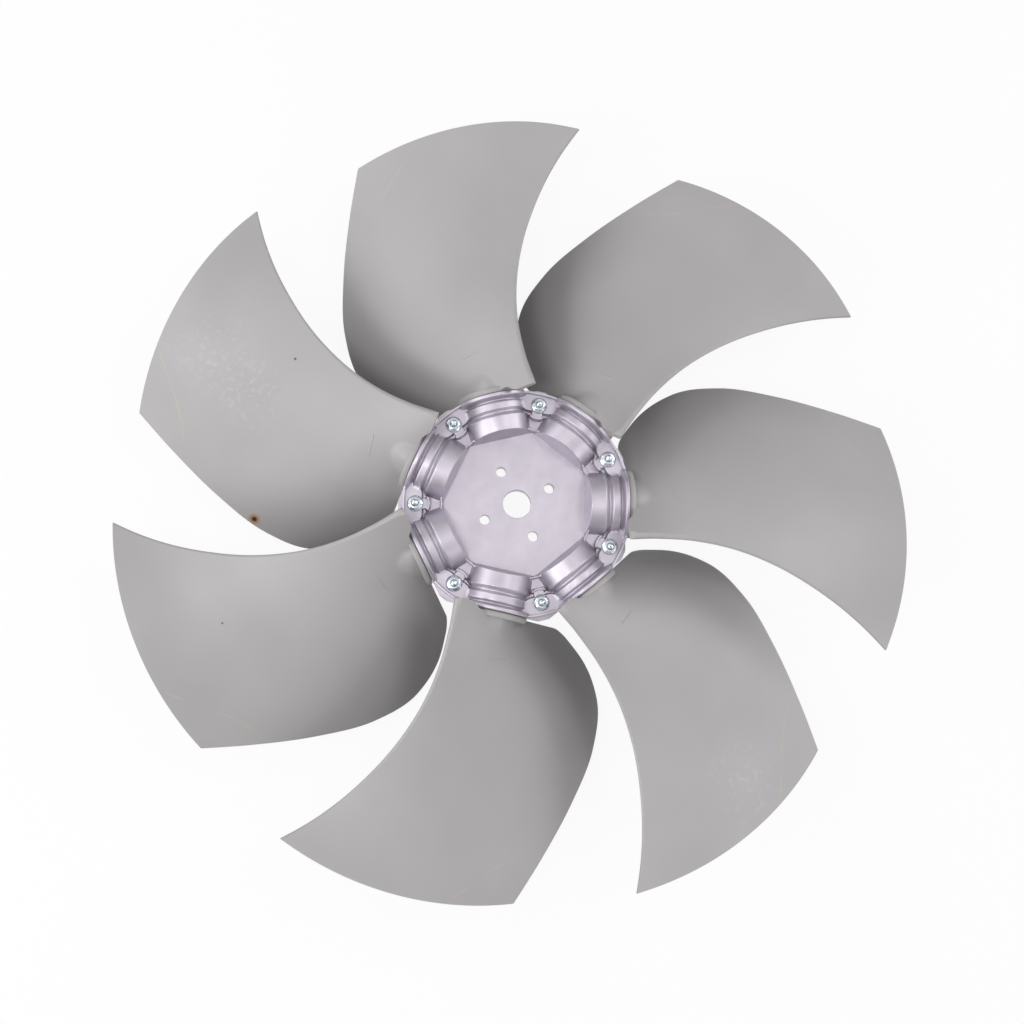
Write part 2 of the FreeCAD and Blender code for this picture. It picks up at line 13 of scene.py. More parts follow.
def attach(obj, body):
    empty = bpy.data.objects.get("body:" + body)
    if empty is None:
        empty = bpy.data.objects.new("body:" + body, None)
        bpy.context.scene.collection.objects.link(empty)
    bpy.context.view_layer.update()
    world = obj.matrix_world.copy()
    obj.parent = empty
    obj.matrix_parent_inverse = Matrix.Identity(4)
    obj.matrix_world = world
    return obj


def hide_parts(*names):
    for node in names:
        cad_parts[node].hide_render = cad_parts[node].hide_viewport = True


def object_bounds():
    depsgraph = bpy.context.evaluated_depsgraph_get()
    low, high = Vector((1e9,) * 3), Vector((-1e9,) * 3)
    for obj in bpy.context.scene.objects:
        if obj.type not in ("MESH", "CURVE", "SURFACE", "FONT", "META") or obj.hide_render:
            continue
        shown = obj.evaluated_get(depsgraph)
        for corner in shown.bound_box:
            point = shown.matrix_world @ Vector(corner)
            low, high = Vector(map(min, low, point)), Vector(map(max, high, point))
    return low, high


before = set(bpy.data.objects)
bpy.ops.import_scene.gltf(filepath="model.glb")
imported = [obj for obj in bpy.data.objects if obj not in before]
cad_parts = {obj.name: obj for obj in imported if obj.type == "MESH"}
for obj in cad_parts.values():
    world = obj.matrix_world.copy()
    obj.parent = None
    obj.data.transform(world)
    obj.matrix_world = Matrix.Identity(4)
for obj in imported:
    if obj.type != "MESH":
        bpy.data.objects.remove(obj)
cad_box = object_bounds()

MM = 0.001
BLADES = 7
STEP = 2 * np.pi / BLADES
HALF = STEP / 2
SHARP_ANGLE = 38

# Hub
PLATE = 5.35
BORE = 12.5
MOUNT_CIRCLE = 31.75
MOUNT_HOLE = 4.5
MOUTH_FACE = 96.0
FRONT_OUTLINE = 100.3
REAR_OUTLINE = 104.5
BOLT_CIRCLE = 89.2
BOLT_HOLE = 3.3
PAD_TOP = 10.35
PAD_MIDDLE = 90.0
PAD_REACH = (16.0, 7.0)
PAD_CORNER = 6.9
TONGUE_TOP = 10.1
TONGUE_HALF = 4.7
TONGUE_REACH = (76.0, 84.0)
RIB_TOP = 12.4
RIB_BEND = (11.0, 13.0)
RIB_HALF = 6.2
RIB_REACH = (70.0, 82.0)
RIB_INNER = (65.6, 67.5)
LIP_WIDTH = 2.2
LIP_TOP = 13.65
EDGE_ROUND = 0.5
FILLET = 1.3
DRAFT = 0.3
SPLIT_GAP = 0.12
HOLE_REACH = 60.0

# Distances at which the rings of the hub's grid stop being round about the
# bore, and start to widen to the outline
ROUND_RINGS = 45.0
WIDE_RINGS = 88.0

# Outside of a socket: distance from the fan axis and radius
SOCKET_X = [50.0, 76.2, 79.2, 80.4, 82.4, 88.3, 89.7, 90.9, 92.2, 92.9, 95.5, 96.2]
SOCKET_R = [26.0, 28.5, 25.0, 25.0, 28.0, 28.0, 25.5, 25.5, 31.2, 32.4, 32.4, 31.6]

# Flat wall that closes a socket towards the plate
WALL_FOOT = 59.2
WALL_SLOPE = 5.5
WALL_FILLET = 1.6

# Inside of a socket
CAVITY_X = [64.2, 64.2, 77.0, 78.6, 81.0, 82.6, 87.5, 89.1, 91.5, 93.1, 100.0, 100.0]
CAVITY_R = [0.0, 23.75, 23.75, 20.25, 20.25, 23.25, 23.25, 20.75, 20.75, 27.5, 27.5, 0.0]

# Blade
TIP_RADIUS = 340.0
EDGE_REAR = 2.0
ROOT_CORNER = 9.0
ROOT_OVERLAP = 5.5
ROOT_ROUND = 2.5

# The solid blade's highest point, which the scene's blade stays under
BLADE_TOP = 49.7

# Half ellipsoid that fairs the blade into its root disc
FAIRING_START = 99.0
FAIRING_LENGTH = 27.0
FAIRING_ACROSS = 19.5
FAIRING_DEPTH = 27.0
FAIRING_FILLET = 3.0
FAIRING_LEAST = 0.02

# Blade sections: distance from the fan axis, chord, pitch, sideways and axial
# place of the chord's middle, camber, thickness in the middle and at the
# leading edge
SECTIONS = np.array([
    (98, 137, 44, 14.8, 1.1, 1, 8.4, 7),
    (120, 155, 36.4, 28.4, -5.7, 3.5, 8, 5.6),
    (150, 167, 29.1, 37.4, -8.6, 6.5, 7.4, 4.4),
    (195, 174, 22.1, 35.1, -7.1, 8.5, 6.6, 3.6),
    (245, 181, 15.9, 17.8, -1.8, 9.5, 5.8, 3.2),
    (295, 199, 10.9, -11.2, 7.2, 9.5, 5, 3),
    (345, 240, 9.3, -54.2, 22.4, 11, 4.4, 3),
])

# Moulded arrow that shows the direction of rotation
ARROW_PLACE = (135.0, 138.0)
ARROW_REACH = (19.5, 1.0)
ARROW_HEIGHT = 0.5
ARROW_SUNK = 0.15
ARROW_SHAFT = 0.75
ARROW_HEAD = 1.9
ARROW_HEAD_SHARE = 0.26

# Weld line near the tip: places across the blade and from the fan axis, and
# how much nearer its slant brings a point to it
WELD_ACROSS = [10.0, 22.0, 35.0, 47.0, 62.0, 76.0]
WELD_OUT = [340.0, 330.0, 318.0, 307.0, 296.0, 288.0]
WELD_SLANT = 0.77
WELD_SHIFT = 100.0
WELD_FAR = 60.0


# Shared maths


def smooth_max(a, b, width):
    """Larger of two heights, blended over a width as a casting fillet is."""
    mix = np.clip(0.5 + 0.5 * (a - b) / width, 0, 1)
    return b + (a - b) * mix + width * mix * (1 - mix)


def smooth_step(low, high, value):
    """Rises from 0 to 1 between two limits as 3t squared minus 2t cubed."""
    t = np.clip((value - low) / (high - low), 0, 1)
    return t * t * (3 - 2 * t)


def rounded(x, y, at, width):
    """Broken line through points, averaged over a width so corners round."""
    shifts = np.linspace(-1, 1, 9)
    weights = 1 - np.abs(shifts) * 0.8
    stack = [w * np.interp(at + s * width, x, y) for s, w in zip(shifts, weights)]
    return sum(stack) / weights.sum()


def spline(knots, values, at):
    """Cubic curve through knots whose slopes come from both neighbours."""
    slopes = np.gradient(values, knots)
    i = np.clip(np.searchsorted(knots, at) - 1, 0, len(knots) - 2)
    gap = knots[i + 1] - knots[i]
    t = (at - knots[i]) / gap
    start = (2 * t**3 - 3 * t**2 + 1) * values[i] + (t**3 - 2 * t**2 + t) * gap * slopes[i]
    end = (3 * t**2 - 2 * t**3) * values[i + 1] + (t**3 - t**2) * gap * slopes[i + 1]
    return start + end


def turned(points, angle):
    """Points turned about the fan axis."""
    c, s = np.cos(angle), np.sin(angle)
    x, y, z = points[..., 0], points[..., 1], points[..., 2]
    return np.stack([x * c - y * s, x * s + y * c, z], axis=-1)


# Meshes


def grid_faces(rows, columns, close_rows=False, close_columns=False, flip=False):
    """Quads of a grid, wrapped round in either direction."""
    r = np.arange(rows if close_rows else rows - 1)
    c = np.arange(columns if close_columns else columns - 1)
    r0, c0 = np.meshgrid(r, c, indexing="ij")
    r1 = (r0 + 1) % rows
    c1 = (c0 + 1) % columns
    quads = [r0 * columns + c0, r1 * columns + c0, r1 * columns + c1, r0 * columns + c1]
    if flip:
        quads.reverse()
    return np.stack(quads, axis=-1).reshape(-1, 4)


def make_object(name, parts, material, sharp=SHARP_ANGLE):
    """One mesh from several sets of points and quads. Points that coincide
    are joined, and it is smooth but for its edges."""
    points = np.concatenate([p.reshape(-1, 3) for p, _ in parts]) * MM
    starts = np.cumsum([0] + [p.size // 3 for p, _ in parts[:-1]])
    faces = np.concatenate([f + start for (_, f), start in zip(parts, starts)])
    mesh = bpy.data.meshes.new(name)
    mesh.from_pydata(points.tolist(), [], faces.tolist())
    joined = bmesh.new()
    joined.from_mesh(mesh)
    bmesh.ops.remove_doubles(joined, verts=joined.verts, dist=1e-3 * MM)
    joined.to_mesh(mesh)
    joined.free()
    mesh.shade_smooth()
    mesh.set_sharp_from_angle(angle=np.radians(sharp))
    mesh.materials.append(material)
    piece = bpy.data.objects.new(name, mesh)
    bpy.context.scene.collection.objects.link(piece)
    return piece


def lathe(x, radius, segments=64):
    """Solid of revolution about the X axis: a profile carried round a circle."""
    angle = np.linspace(0, 2 * np.pi, segments, endpoint=False)
    px = np.repeat(np.asarray(x, float)[:, None], segments, axis=1)
    py = np.asarray(radius)[:, None] * np.cos(angle)
    pz = np.asarray(radius)[:, None] * np.sin(angle)
    points = np.stack([px, py, pz], axis=-1)
    return points, grid_faces(len(x), segments, close_columns=True, flip=True)


def lathe_upright(z, radius, segments=64):
    """Solid of revolution about the Z axis."""
    points, faces = lathe(z, radius, segments)
    return points[..., [1, 2, 0]], faces


# Hub


def ramp(value, low, high, soft):
    """Plateau of 1 between two limits with short slopes."""
    rise = smooth_step(low - soft, low + soft, value)
    fall = 1 - smooth_step(high - soft, high + soft, value)
    return rise * fall


def hub_height(x, y, outline):
    """Height of a hub half over its split plane. The socket is a circle of
    the band's radius across the blade axis, closed towards the plate by a
    leaning wall; it is blended with the highest of plate, bolt pad, tongue,
    valley ribs and lip."""
    radius = np.hypot(x, y)
    valley_x = BOLT_CIRCLE * np.cos(HALF)
    valley_y = BOLT_CIRCLE * np.sin(HALF)
    from_bolt = np.hypot(x - valley_x, np.abs(y) - valley_y)
    aside = np.sin(np.abs(np.arctan2(y, x)) - HALF) * radius
    arc = ramp(from_bolt, *RIB_BEND, DRAFT) * ramp(radius, *RIB_REACH, DRAFT)
    arc = arc * ramp(aside, -RIB_HALF, RIB_HALF, DRAFT)
    inner = ramp(radius, *RIB_INNER, DRAFT)
    tongue = ramp(from_bolt, 0, RIB_BEND[0] + 1, DRAFT) * ramp(radius, *TONGUE_REACH, DRAFT)
    tongue = tongue * ramp(aside, -TONGUE_HALF, TONGUE_HALF, 0.35)

    # The pad is a rounded rectangle that runs on into the socket
    ahead = np.cos(np.abs(np.arctan2(y, x)) - HALF) * radius
    over_side = np.maximum(np.abs(aside) - PAD_REACH[0] + PAD_CORNER, 0)
    over_end = np.maximum(np.abs(ahead - PAD_MIDDLE) - PAD_REACH[1] + PAD_CORNER, 0)
    clear = smooth_step(-0.7, 0.7, np.hypot(over_side, over_end) - PAD_CORNER)
    pad = np.maximum(1 - clear, smooth_step(PAD_MIDDLE - 0.4, PAD_MIDDLE + 0.4, radius))
    lip = smooth_step(outline - LIP_WIDTH - DRAFT, outline - LIP_WIDTH + DRAFT, radius)
    height = np.full_like(radius, PLATE)
    ribs = np.maximum(arc, inner)
    for share, top in ((tongue, TONGUE_TOP), (pad, PAD_TOP), (ribs, RIB_TOP), (lip, LIP_TOP)):
        height = np.maximum(height, PLATE + share * (top - PLATE))
    band = rounded(SOCKET_X, SOCKET_R, x, 0.5)
    inside = band**2 - y**2
    socket = np.where(inside > 0, np.sqrt(np.maximum(inside, 0)), 6 * (band - np.abs(y)))
    wall = PLATE + (x - WALL_FOOT) * WALL_SLOPE
    socket = -smooth_max(-socket, -wall, WALL_FILLET)
    socket = np.where(socket > PAD_TOP, PAD_TOP + (socket - PAD_TOP) * clear, socket)
    height = smooth_max(socket, height, FILLET)
    into_bore = np.clip((BORE + EDGE_ROUND - radius) / EDGE_ROUND, 0, 1)
    return height - EDGE_ROUND * (1 - np.sqrt(1 - into_bore**2))


def hub_rings(thin):
    """Distances of the grid rings along the blade axis, close where it bends."""
    stretches = [
        (BORE, 13, 4), (13, 56, 14), (56, 58.6, 4), (58.6, 64.4, 30), (64.4, 69.6, 5),
        (69.6, 74.2, 20), (74.2, 76.4, 4), (76.4, 83.2, 26), (83.2, 88.2, 6), (88.2, 93.2, 20),
        (93.2, 95.4, 9),
    ]
    rings = np.concatenate([np.linspace(a, b, n, endpoint=False) for a, b, n in stretches])
    return np.concatenate([rings[::thin], [95.5, 95.7, 95.86, 95.96, MOUTH_FACE]])


def hub_surface(outline, across, thin):
    """Grid of one seventh of the top. A ring runs straight across the socket
    and then as a circle about the fan axis. Its points are spaced evenly
    along the cross-section, and closer in the valley beside the socket."""
    rings = hub_rings(thin)
    corner = np.sqrt(FRONT_OUTLINE**2 - MOUTH_FACE**2)
    last = np.sqrt(outline**2 - MOUTH_FACE**2)
    grid = []
    for distance in rings:
        square = smooth_step(BORE, ROUND_RINGS, distance)
        bend = corner + (last - corner) * smooth_step(WIDE_RINGS, MOUTH_FACE, distance)
        angle = np.linspace(0, HALF, 700)
        straight = distance * (1 - square + square / np.cos(angle))
        radius = np.minimum(straight, np.hypot(distance, bend))
        x, y = radius * np.cos(angle), radius * np.sin(angle)
        height = hub_height(x, y, outline)
        piece = np.hypot(np.hypot(np.diff(x), np.diff(y)), np.diff(height))
        piece = piece * (1 + 1.8 * smooth_step(22, 27, y[1:]))
        length = np.concatenate([[0], np.cumsum(piece)])
        even = np.linspace(0, length[-1], across)
        grid.append([np.interp(even, length, values) for values in (x, y)])
    grid = np.array(grid)
    x, y = grid[:, 0], grid[:, 1]
    x = np.concatenate([x[:, :0:-1], x], axis=1)
    y = np.concatenate([-y[:, :0:-1], y], axis=1)
    z = hub_height(x, y, outline)
    to_edge = np.clip((rings - MOUTH_FACE + EDGE_ROUND) / EDGE_ROUND, 0, 1)[:, None]
    z = z - EDGE_ROUND * (1 - np.sqrt(1 - to_edge**2))
    return np.stack([x, y, z], axis=-1)


def hub_body(name, outline, side, across, thin, material):
    """Closed casting: the top, the outer wall, the flat split face and the
    bore wall, wrapped seven times round the axis."""
    top = hub_surface(outline, across, thin)
    low = np.array([0, 0, SPLIT_GAP])
    rows = [-1, len(top) // 2, len(top) // 4, 0]
    under = [top[i][None] * [1, 1, 0] + low for i in rows]
    strip = np.concatenate([top] + under)[:, :-1]
    ring = np.concatenate([turned(strip, k * STEP) for k in range(BLADES)], axis=1)
    ring[..., 2] *= side
    faces = grid_faces(ring.shape[0], ring.shape[1], True, True, flip=side < 0)
    return make_object(name, [(ring, faces)], material)


def cut(piece, tool):
    """Take one closed mesh away from another and keep the result as mesh."""
    modifier = piece.modifiers.new("cut", "BOOLEAN")
    modifier.operation = "DIFFERENCE"
    modifier.solver = "MANIFOLD"
    modifier.object = tool
    graph = bpy.context.evaluated_depsgraph_get()
    result = bpy.data.meshes.new_from_object(piece.evaluated_get(graph))
    piece.modifiers.clear()
    piece.data = result
    result.shade_smooth()
    result.set_sharp_from_angle(angle=np.radians(SHARP_ANGLE))


def hub_cutters(material):
    """Sockets, mounting holes and bolt holes as closed forms."""
    cavity, cavity_faces = lathe(CAVITY_X, CAVITY_R, 72)
    parts = [(turned(cavity, k * STEP), cavity_faces) for k in range(BLADES)]
    for radius, circle, count in ((MOUNT_HOLE, MOUNT_CIRCLE, 4), (BOLT_HOLE, BOLT_CIRCLE, BLADES)):
        ends = [-HOLE_REACH, -HOLE_REACH, HOLE_REACH, HOLE_REACH]
        hole, faces = lathe_upright(ends, [0, radius, radius, 0], 48)
        hole = hole + [circle, 0, 0]
        parts += [(turned(hole, HALF + k * 2 * np.pi / count), faces) for k in range(count)]
    return make_object("hub_cutters", parts, material)


# Blades


def blade_point(x, s, face):
    """Point of a blade: s runs along the chord, face is 1 in front and -1
    behind. The offset is the camber, a parabola over the chord, plus half the
    thickness, which grows from the edges to the middle and ends in a half
    circle at both. The fairing is the same point of an ellipsoid, blended."""
    chord, pitch, side, level, camber, thick, nose = (
        spline(SECTIONS[:, 0], SECTIONS[:, i], x) for i in range(1, 8)
    )
    turn = np.radians(pitch)
    c, d = np.cos(turn), np.sin(turn)
    hump = 4 * s * (1 - s)
    half = (nose + (EDGE_REAR - nose) * s + (thick - (nose + EDGE_REAR) / 2) * hump) / 2
    lead = np.clip(s * chord / (nose / 2), 0, 1)
    trail = np.clip((1 - s) * chord / (EDGE_REAR / 2), 0, 1)
    half = half * np.sqrt(1 - (1 - lead) ** 2) * np.sqrt(1 - (1 - trail) ** 2)
    along = (s - 0.5) * chord
    out = camber * hump + face * half

    # Ellipse of the fairing in chord coordinates, solved for the offset. Past
    # the fairing's length it keeps a small part of its size and doesn't end,
    # which leaves thin ragged fins on the back of the blade
    along_axis = 1 - ((x - FAIRING_START) / FAIRING_LENGTH) ** 2
    reach = np.sqrt(np.clip(along_axis, FAIRING_LEAST**2, 1))
    wide, deep = (FAIRING_ACROSS * reach) ** 2, (FAIRING_DEPTH * reach) ** 2
    u = along + side * c - level * d
    a = d**2 / wide + c**2 / deep
    b = u * c * d * (1 / wide - 1 / deep)
    inside = b**2 - a * (u**2 * (c**2 / wide + d**2 / deep) - 1)
    beyond = np.sqrt(np.maximum(-inside, 0))
    root = np.where(inside > 0, np.sqrt(np.maximum(inside, 0)), -3 * beyond)
    fairing = -side * d - level * c + (-b + face * root) / a
    blended = face * smooth_max(face * out, face * fairing, FAIRING_FILLET)
    out = np.where((s > 0.02) & (s < 0.98), blended, out)
    return side + along * c + out * d, np.minimum(level - along * d + out * c, BLADE_TOP)


def chord_places(count=76):
    """Places along the chord, close together at both edges."""
    t = np.linspace(0, 1, count)
    return 0.25 * t + 0.75 * (1 - np.cos(np.pi * t)) / 2


def blade_ends(s):
    """Where each chord place starts at the root, nearer to the hub beside
    the leading edge and with its trailing corner rounded, and where it ends
    on the tip circle."""
    start = SECTIONS[0, 0] - ROOT_OVERLAP * (1 - smooth_step(0.13, 0.2, s))
    near_lead = np.clip(1 - s * SECTIONS[0, 1] / ROOT_ROUND, 0, 1)
    start = start + ROOT_ROUND * (1 - np.sqrt(1 - near_lead**2))
    from_trail = (1 - s) * SECTIONS[0, 1]
    over = np.clip(1 - from_trail / ROOT_CORNER, 0, 1)
    start = start + ROOT_CORNER * (1 - np.sqrt(1 - over**2))

    # The sideways place changes with the distance, so this is repeated
    end = np.full_like(s, TIP_RADIUS)
    for _ in range(14):
        y, _ = blade_point(end, s, 0)
        end = np.sqrt(TIP_RADIUS**2 - y**2)
    return start, end


def blade_skin(rows=84):
    """Closed blade surface: front and back grids joined at root and tip, with
    rows closer together near the root."""
    s = chord_places()
    start, end = blade_ends(s)
    t = np.linspace(0, 1, rows)
    t = (0.45 * t + 0.55 * t**1.8)[:, None]
    x = start + (end - start) * t
    s_grid = np.broadcast_to(s, x.shape)
    front, back = (np.stack([x, *blade_point(x, s_grid, face)], axis=-1) for face in (1, -1))
    loop = np.concatenate([front, back[:, -2:0:-1]], axis=1)
    root = np.stack([front[0], back[0]])
    tip = np.stack([front[-1], back[-1]])
    return [
        (loop, grid_faces(rows, loop.shape[1], close_columns=True, flip=True)),
        (root, grid_faces(2, len(s))),
        (tip, grid_faces(2, len(s), flip=True)),
    ]


def root_form():
    """Root disc and the stem that sits in the socket, a revolved profile."""
    stem_x = [69.0, 69.0, 76.7, 78.3, 81.3, 82.9, 87.2, 88.8, 91.8, 93.4, 96.6]
    stem_r = [0.0, 23.4, 23.4, 19.95, 19.95, 22.9, 22.9, 20.45, 20.45, 27.2, 27.2]
    disc_x = [96.6, 96.8, 97.4, 100.8, 101.4, 101.6, 101.6]
    disc_r = [29.0, 29.7, 30.0, 30.0, 29.7, 29.0, 0.0]
    return lathe(stem_x + disc_x, stem_r + disc_r, 96)


def arrow():
    """Raised arrow on the front of the blade: a thin strip along its path,
    whose half width is that of a shaft and then of a pointed head, and whose
    height is a rounded arch across the strip."""
    t = np.linspace(0, 1, 60)
    head = ARROW_HEAD * np.clip((1 - t) / ARROW_HEAD_SHARE, 0, 1)
    width = np.where(t < 1 - ARROW_HEAD_SHARE, ARROW_SHAFT, head)[:, None]
    v = np.linspace(-1, 1, 9)[None, :]
    x = ARROW_PLACE[0] + (ARROW_PLACE[1] - ARROW_PLACE[0]) * t[:, None] + v * width
    want = ARROW_REACH[0] + (ARROW_REACH[1] - ARROW_REACH[0]) * t
    dense = np.linspace(0.05, 0.95, 400)
    middle, _ = blade_point(np.full_like(dense, np.mean(ARROW_PLACE)), dense, 1)
    s = np.broadcast_to(np.interp(want, middle, dense)[:, None], x.shape)
    y, z = blade_point(x, s, 1)
    rise = ARROW_HEIGHT * np.sqrt(1 - v**2) - ARROW_SUNK
    turn = np.radians(spline(SECTIONS[:, 0], SECTIONS[:, 2], x))
    points = np.stack([x, y + rise * np.sin(turn), z + rise * np.cos(turn)], axis=-1)
    return points, grid_faces(*x.shape, flip=True)


def mark_weld(piece, number):
    """Store how far each point lies beyond the weld line, in millimetres and
    raised by a fixed amount so that it is never near zero."""
    mesh = piece.data
    flat = np.empty(len(mesh.vertices) * 3)
    mesh.vertices.foreach_get("co", flat)
    local = turned(flat.reshape(-1, 3) / MM, -(number - 1) * STEP)
    beyond = (local[:, 0] - np.interp(local[:, 1], WELD_ACROSS, WELD_OUT)) * WELD_SLANT
    outside = (local[:, 1] < WELD_ACROSS[0]) | (local[:, 1] > WELD_ACROSS[-1])
    beyond = np.where(outside, np.where(beyond < 0, -WELD_FAR, WELD_FAR), beyond)
    weld = mesh.attributes.new("weld", "FLOAT", "POINT")
    weld.data.foreach_set("value", beyond + WELD_SHIFT)


def blade_parts(number):
    """All surfaces of one blade, turned to its place."""
    angle = (number - 1) * STEP
    parts = blade_skin() + [root_form(), arrow()]
    return [(turned(points, angle), faces) for points, faces in parts]


# Fasteners


def hex_prism(z, limit, flats, segments=96):
    """Hexagon with rounded ends: each ring is the smaller of the hexagon and
    a circle of the given radius."""
    angle = np.linspace(0, 2 * np.pi, segments, endpoint=False)
    third = np.pi / 3
    hexagon = flats / 2 / np.cos((angle + third / 2) % third - third / 2)
    radius = np.minimum(np.asarray(limit, float)[:, None], hexagon)
    upright = np.repeat(np.asarray(z, float)[:, None], segments, axis=1)
    points = np.stack([radius * np.cos(angle), radius * np.sin(angle), upright], axis=-1)
    return points, grid_faces(len(z), segments, close_columns=True, flip=True)


def nut_parts():
    """Flange nut: a hexagon with a chamfered top on a coned flange."""
    base = PAD_TOP
    nut = hex_prism(
        base + np.array([1.2, 2.2, 5.0, 5.6, 5.9, 6, 6, 5.2]),
        [7, 7, 7, 5.35, 4.9, 4.6, 3.3, 2.9], 10,
    )
    flange = lathe_upright(
        base + np.array([0, 0, 0.25, 0.7, 1.0, 2.1, 2.4, 2.4]),
        [3.1, 6.7, 7.05, 7.1, 6.9, 5.4, 4.6, 3.1],
    )
    return [nut, flange]


def bolt_parts():
    """Bolt shank with a domed, dimpled end and its head on the rear pad."""
    base = -PAD_TOP
    tip = base + 30
    end = lathe_upright(
        np.append(base - 1, tip - np.array([2.6, 1.6, 0.9, 0.4, 0.1, 0, 0.15, 0.6, 0.7])),
        [2.95, 2.95, 2.9, 2.65, 2.2, 1.7, 1.3, 1.0, 0.5, 0.0],
    )
    head, _ = hex_prism(
        base - np.array([1.2, 2.2, 6.0, 6.4, 6.6, 6.6]),
        [7, 7, 7, 4.4, 3.9, 0], 8,
    )
    flange, _ = lathe_upright(
        base - np.array([0, 0, 0.25, 0.7, 1.0, 2.1, 2.4, 2.4]),
        [0, 6.7, 7.05, 7.1, 6.9, 5.4, 4.2, 0],
    )
    hanging = [(p, grid_faces(*p.shape[:2], close_columns=True)) for p in (head, flange)]
    return [end] + hanging


def ring_of(parts):
    """Seven copies on the bolt circle."""
    angles = (np.arange(BLADES) + 0.5) * STEP
    out = [BOLT_CIRCLE, 0, 0]
    return [(turned(points + out, angle), faces) for angle in angles for points, faces in parts]


# Materials


def linear(code):
    """Linear colour of an sRGB hex value."""
    values = [int(code[i : i + 2], 16) / 255 for i in (0, 2, 4)]
    return [v / 12.92 if v <= 0.04045 else ((v + 0.055) / 1.055) ** 2.4 for v in values] + [1]


def add(tree, kind, inputs, output=0, **settings):
    """Add a node and return one of its outputs. Settings are properties of
    the node. Each input, by name or number, is linked to a socket, coloured
    by a hex value, or set to a number."""
    node = tree.nodes.new(kind)
    for key, value in settings.items():
        setattr(node, key, value)
    for key, value in inputs.items():
        if isinstance(value, bpy.types.NodeSocket):
            tree.links.new(value, node.inputs[key])
        else:
            node.inputs[key].default_value = linear(value) if isinstance(value, str) else value
    return node.outputs[output]


def new_material(name):
    """Material with a principled shader, its tree and the object's place."""
    material = bpy.data.materials.new(name)
    material.use_nodes = True
    tree = material.node_tree
    place = add(tree, "ShaderNodeTexCoord", {}, "Object")
    return material, tree, tree.nodes["Principled BSDF"], place


def patches(tree, place, grain_mm, detail, low, high, to_low=0.0, to_high=1.0):
    """Uneven pattern about as wide as given in millimetres: noise between
    two limits, carried to two others."""
    sizes = {"Vector": place, "Scale": 1 / (grain_mm * MM), "Detail": detail}
    cloud = add(tree, "ShaderNodeTexNoise", sizes, "Fac")
    limits = {"From Min": low, "From Max": high, "To Min": to_low, "To Max": to_high}
    return add(tree, "ShaderNodeMapRange", {"Value": cloud, **limits})


def spot(tree, place, centre, radius_mm, soft_mm):
    """1 within a radius of a point and 0 beyond a soft border."""
    middle = [value * MM for value in centre]
    away = add(tree, "ShaderNodeVectorMath", {0: place, 1: middle}, "Value", operation="DISTANCE")
    limits = {"From Min": (radius_mm + soft_mm) * MM, "From Max": radius_mm * MM}
    return add(tree, "ShaderNodeMapRange", {"Value": away, **limits})


def tinted(tree, layers, tone):
    """Colour laid over another wherever its share says so, layer by layer."""
    for share, colour in layers:
        sockets = {"Factor": share, "A": tone, "B": colour}
        tone = add(tree, "ShaderNodeMix", sockets, "Result", data_type="RGBA")
    return tone


def relief(tree, place, grain_mm, detail, strength, depth_mm):
    """Surface direction over a fine grain of noise."""
    sizes = {"Vector": place, "Scale": 1 / (grain_mm * MM), "Detail": detail}
    height = add(tree, "ShaderNodeTexNoise", sizes, "Fac")
    depth = {"Height": height, "Strength": strength, "Distance": depth_mm * MM}
    return add(tree, "ShaderNodeBump", depth)


def cast_aluminium():
    """Die-cast aluminium, blasted: a fine matt grain with a faint violet grey
    tone. The real grain is finer than a pixel and is drawn 0.9 mm wide."""
    material, tree, shader, place = new_material("cast_aluminium")
    cloud = patches(tree, place, 12, 3, 0.3, 0.7)
    tree.links.new(tinted(tree, [(cloud, "c5bfc9")], "bbb5bf"), shader.inputs["Base Color"])
    tree.links.new(patches(tree, place, 6, 3, 0.3, 0.7, 0.42, 0.5), shader.inputs["Roughness"])
    tree.links.new(relief(tree, place, 0.9, 3, 0.25, 0.06), shader.inputs["Normal"])
    shader.inputs["Metallic"].default_value = 0.85
    return material


